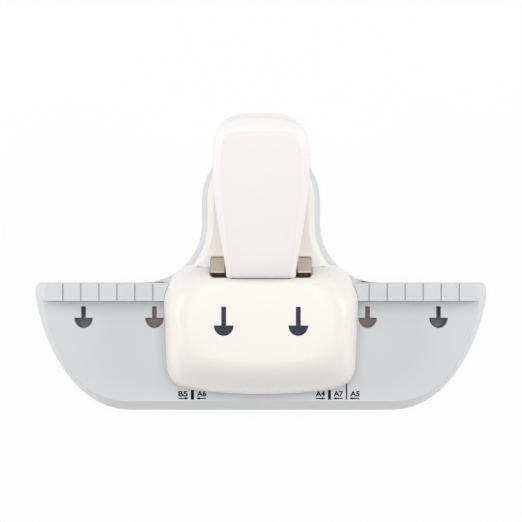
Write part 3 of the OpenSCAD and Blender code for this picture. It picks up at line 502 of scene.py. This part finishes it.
def arrow(tail, tip, y):
    """Outline of a thin arrow along X."""
    stroke, barb, reach = 0.2, 0.5, 1.2
    way = 1 if tip > tail else -1
    neck = tip - way * reach
    return [(tail, y - stroke), (neck, y - stroke), (neck, y - barb), (tip, y), (neck, y + barb),
            (neck, y + stroke), (tail, y + stroke)]


BAR_Y = (-46.2, -42.85)
ARROW_Y = -45.75
marks = [bar(-24.7, -23.6, *BAR_Y), bar(23.6, 24.6, *BAR_Y), bar(29.9, 30.35, BAR_Y[0], -40.2)]
for tail, tip in ((-29.0, -25.5), (-19.4, -22.8), (19.3, 22.7), (28.8, 25.4), (34.6, 31.1)):
    marks.append(arrow(tail, tip, ARROW_Y))
printed("size_bars", marks, TABLE_Z, black_ink)

CODE_HEIGHT = 1.95
CODE_FOOT = -45.1
CODE_WIDTH = 3.35
for index, (code, middle) in enumerate((("B5", -27.45), ("A6", -20.9), ("A4", 20.9), ("A7", 27.25),
                                        ("A5", 33.05))):
    text = bpy.data.curves.new(f"size_code_{index}", "FONT")
    text.body = code
    text.offset = 0.03
    text.extrude = 0.1
    letters = bpy.data.objects.new(f"size_code_{index}", text)
    bpy.context.scene.collection.objects.link(letters)
    mesh = bpy.data.meshes.new_from_object(letters.evaluated_get(bpy.context.evaluated_depsgraph_get()))
    bpy.data.objects.remove(letters)
    xs, ys, zs = zip(*(vert.co for vert in mesh.vertices))
    scale = (CODE_WIDTH * MM / (max(xs) - min(xs)), CODE_HEIGHT * MM / (max(ys) - min(ys)),
             PRINT_THICK / (max(zs) - min(zs)))
    mesh.transform(Matrix.Translation((-(max(xs) + min(xs)) / 2, -min(ys), -min(zs))))
    mesh.transform(Matrix.Diagonal((*scale, 1)))
    mesh.transform(Matrix.Translation((middle * MM, CODE_FOOT * MM, TABLE_Z)))
    mesh.materials.clear()
    mesh.materials.append(black_ink)
    printed_code = bpy.data.objects.new(f"size_code_{index}", mesh)
    bpy.context.scene.collection.objects.link(printed_code)
    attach(printed_code, "frame")

COVER_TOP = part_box("cover")[1].z
HEAD_HALF, HEAD_FLAT, HEAD_DEPTH = 3.3, -19.0, 3.5
STEM_HALF, STEM_TOP = 0.8, -12.7
holes = []
for middle in (-12.5, 12.5):
    round_part = [(HEAD_HALF * math.cos(a), HEAD_FLAT + HEAD_DEPTH * math.sin(a))
                  for a in (-math.pi * i / 24 for i in range(25))]
    outline = [(STEM_HALF, STEM_TOP), (STEM_HALF, HEAD_FLAT)] + round_part
    outline += [(-STEM_HALF, HEAD_FLAT), (-STEM_HALF, STEM_TOP)]
    holes.append([(middle + x, y) for x, y in outline])
printed("hole_marks", holes, COVER_TOP, blue_ink)


# Floor, light and camera
# A pale floor that keeps a soft shadow, soft lamps above and on both sides, and a
# camera that looks straight down.
floor_mesh = bpy.data.meshes.new("floor")
FLOOR_HALF = 3
floor_mesh.from_pydata([(-FLOOR_HALF, -FLOOR_HALF, 0), (FLOOR_HALF, -FLOOR_HALF, 0),
                        (FLOOR_HALF, FLOOR_HALF, 0), (-FLOOR_HALF, FLOOR_HALF, 0)], [], [(0, 1, 2, 3)])
floor = bpy.data.objects.new("floor", floor_mesh)
bpy.context.scene.collection.objects.link(floor)


def seen(tree):
    """One where a ray comes from the camera, a reflection or clear matter, and zero for plain light."""
    path = add(tree, "ShaderNodeLightPath").outputs
    either = add(tree, "ShaderNodeMath", links={0: path["Is Camera Ray"], 1: path["Is Glossy Ray"]},
                 operation="MAXIMUM")
    return add(tree, "ShaderNodeMath", links={0: either.outputs[0], 1: path["Is Transmission Ray"]},
               operation="MAXIMUM").outputs[0]


FLOOR_LIFT = 0.9
paper_white = bpy.data.materials.new("white_paper_floor")
paper_white.use_nodes = True
floor_tree = paper_white.node_tree
floor_tree.nodes["Principled BSDF"].inputs["Base Color"].default_value = linear("#fafafa")
floor_tree.nodes["Principled BSDF"].inputs["Roughness"].default_value = 0.9
glow = add(floor_tree, "ShaderNodeEmission", {"Color": linear("#ffffff"), "Strength": 1})
glow_share = add(floor_tree, "ShaderNodeMath", {1: FLOOR_LIFT}, {0: seen(floor_tree)},
                 operation="MULTIPLY")
both = add(floor_tree, "ShaderNodeMixShader", links={
    0: glow_share.outputs[0], 1: floor_tree.nodes["Principled BSDF"].outputs[0], 2: glow.outputs[0]})
floor_tree.links.new(both.outputs[0], floor_tree.nodes["Material Output"].inputs["Surface"])
floor_mesh.materials.append(paper_white)

WORLD_LIGHT = 0.5
world = bpy.data.worlds.new("studio")
bpy.context.scene.world = world
world.use_nodes = True
world_tree = world.node_tree
room = world_tree.nodes["Background"]
room.inputs["Color"].default_value = linear("#ffffff")
room.inputs["Strength"].default_value = WORLD_LIGHT
backdrop = add(world_tree, "ShaderNodeBackground", {"Color": linear("#ffffff"), "Strength": 1})
sky = add(world_tree, "ShaderNodeMixShader", links={
    0: seen(world_tree), 1: room.outputs[0], 2: backdrop.outputs[0]})
world_tree.links.new(sky.outputs[0], world_tree.nodes["World Output"].inputs["Surface"])

LAMP_SIZE = 0.55
for name, place, watts in (("lamp_above", (0, 0.18, 1.0), 2.05), ("lamp_left", (-0.76, 0.14, 0.47), 2.7),
                           ("lamp_right", (0.76, 0.14, 0.47), 2.55)):
    lamp_data = bpy.data.lights.new(name, "AREA")
    lamp_data.size = LAMP_SIZE
    lamp_data.energy = watts
    lamp = bpy.data.objects.new(name, lamp_data)
    bpy.context.scene.collection.objects.link(lamp)
    lamp.location = place
    lamp.rotation_euler = (-Vector(place)).to_track_quat("-Z", "Y").to_euler()

CAMERA_HEIGHT = 573 * MM
CAMERA_Y = 2.6 * MM
camera_data = bpy.data.cameras.new("camera")
camera_data.lens = 109.7
camera_data.sensor_width = 36
camera = bpy.data.objects.new("camera", camera_data)
bpy.context.scene.collection.objects.link(camera)
camera.location = (0, CAMERA_Y, CAMERA_HEIGHT)
bpy.context.scene.camera = camera
bpy.context.scene.view_settings.view_transform = "Standard"
